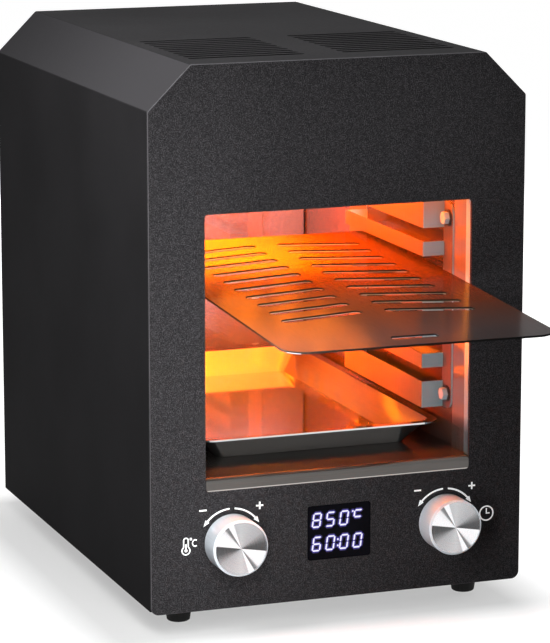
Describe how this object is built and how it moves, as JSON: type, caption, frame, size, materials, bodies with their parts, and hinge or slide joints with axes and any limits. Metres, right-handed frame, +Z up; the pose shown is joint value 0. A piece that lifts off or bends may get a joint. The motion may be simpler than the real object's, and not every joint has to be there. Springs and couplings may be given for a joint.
{
  "type": "open-fronted electric top-heat grill",
  "caption": "Upright electric grill: dark casing with bevelled top corners, open stainless chamber, stepped racks, sliding slotted plate, drip tray, knobs and lit display.",
  "frame": {"origin": "on the table under the middle of the whole object's outline, the drawn-out plate included", "axes": "+X to the user's right when facing the front, +Y from the front to the back, +Z up"},
  "size_m": [0.24, 0.4676, 0.341],
  "materials": {
    "casing_paint": "smooth dark grey powder coat",
    "panel_paint": "fine speckled dark grey powder coat",
    "rubber": "matt black",
    "zinc_steel": "bright zinc plate",
    "black_steel": "blackened",
    "stainless": "finely brushed, shiny",
    "plate_steel": "satin, lightly used",
    "heater_sheath": "matt oxide, glows orange in use",
    "ceramic": "unglazed ceramic",
    "blanket": "loose white fibre",
    "aluminium": "spun face, satin rim",
    "plated_brass": "turned",
    "black_plastic": "matt",
    "smoked_window": "clear over dark, lit white numbers show through",
    "lit_display": "white lit numbers on black",
    "circuit_board": "green solder mask",
    "core_steel": "varnished laminations",
    "grey_plastic": "moulded",
    "lead_sleeve": "silicone sleeve"
  },
  "bodies": {
    "housing": {"outer_casing": "casing_paint", "rear_panel": "casing_paint", "base_plate": "casing_paint", "front_panel": "panel_paint", "foot_front_left": "rubber", "foot_front_right": "rubber", "foot_rear_left": "rubber", "foot_rear_right": "rubber", "rear_screws": "zinc_steel", "base_screws": "zinc_steel", "foot_screws": "zinc_steel", "frame_nuts": "zinc_steel", "rack_bolts": "zinc_steel", "rack_nuts": "zinc_steel", "encoder_nuts": "zinc_steel", "board_screws": "zinc_steel", "chamber_support_front": "zinc_steel", "chamber_support_rear": "zinc_steel", "rack_washers": "black_steel", "chamber_right_wall": "stainless", "chamber_left_wall": "stainless", "chamber_floor": "stainless", "chamber_back_wall": "stainless", "chamber_roof": "stainless", "front_heat_shield": "stainless", "rack_right": "stainless", "rack_left": "stainless", "heater_bars": "stainless", "temperature_probe": "stainless", "heating_element": "heater_sheath", "heater_bushes": "ceramic", "insulation_right": "blanket", "insulation_left": "blanket", "insulation_top": "blanket", "insulation_rear": "blanket", "board_standoffs": "plated_brass", "thermal_cutout": "black_plastic", "temperature_encoder": "black_plastic", "timer_encoder": "black_plastic", "board_spacers": "black_plastic", "power_relay": "black_plastic", "power_switch_housing": "black_plastic", "cord_gland": "black_plastic", "gland_nut": "black_plastic", "display_window": "smoked_window", "display_module": "lit_display", "control_board": "circuit_board", "power_board": "circuit_board", "transformer": "core_steel", "control_ribbon": "grey_plastic", "terminal_block": "grey_plastic", "heater_leads": "lead_sleeve", "mains_leads": "lead_sleeve"},
    "grill_plate": {"grill_plate": "plate_steel"},
    "drip_tray": {"drip_tray": "stainless"},
    "temperature_knob": {"temperature_knob": "aluminium", "temperature_shaft": "plated_brass"},
    "timer_knob": {"timer_knob": "aluminium", "timer_shaft": "plated_brass"},
    "power_switch_rocker": {"power_switch_rocker": "black_plastic"}
  },
  "joints": [
    {"name": "plate_slide", "type": "slide", "parent": "housing", "child": "grill_plate", "axis": [0, -0.9993, -0.0375], "range_m": [-0.125, 0.16]},
    {"name": "tray_slide", "type": "slide", "parent": "housing", "child": "drip_tray", "axis": [0, -1, 0], "range_m": [0, 0.29]},
    {"name": "temperature_turn", "type": "hinge", "parent": "housing", "child": "temperature_knob", "pos_m": [-0.0693, -0.10225, 0.0535], "axis": [0, -1, 0], "continuous": true},
    {"name": "timer_turn", "type": "hinge", "parent": "housing", "child": "timer_knob", "pos_m": [0.0693, -0.10225, 0.0535], "axis": [0, -1, 0], "continuous": true},
    {"name": "switch_rock", "type": "hinge", "parent": "housing", "child": "power_switch_rocker", "pos_m": [0.078, 0.22555, 0.048], "axis": [1, 0, 0], "range_deg": [-20, 0]}
  ]
}
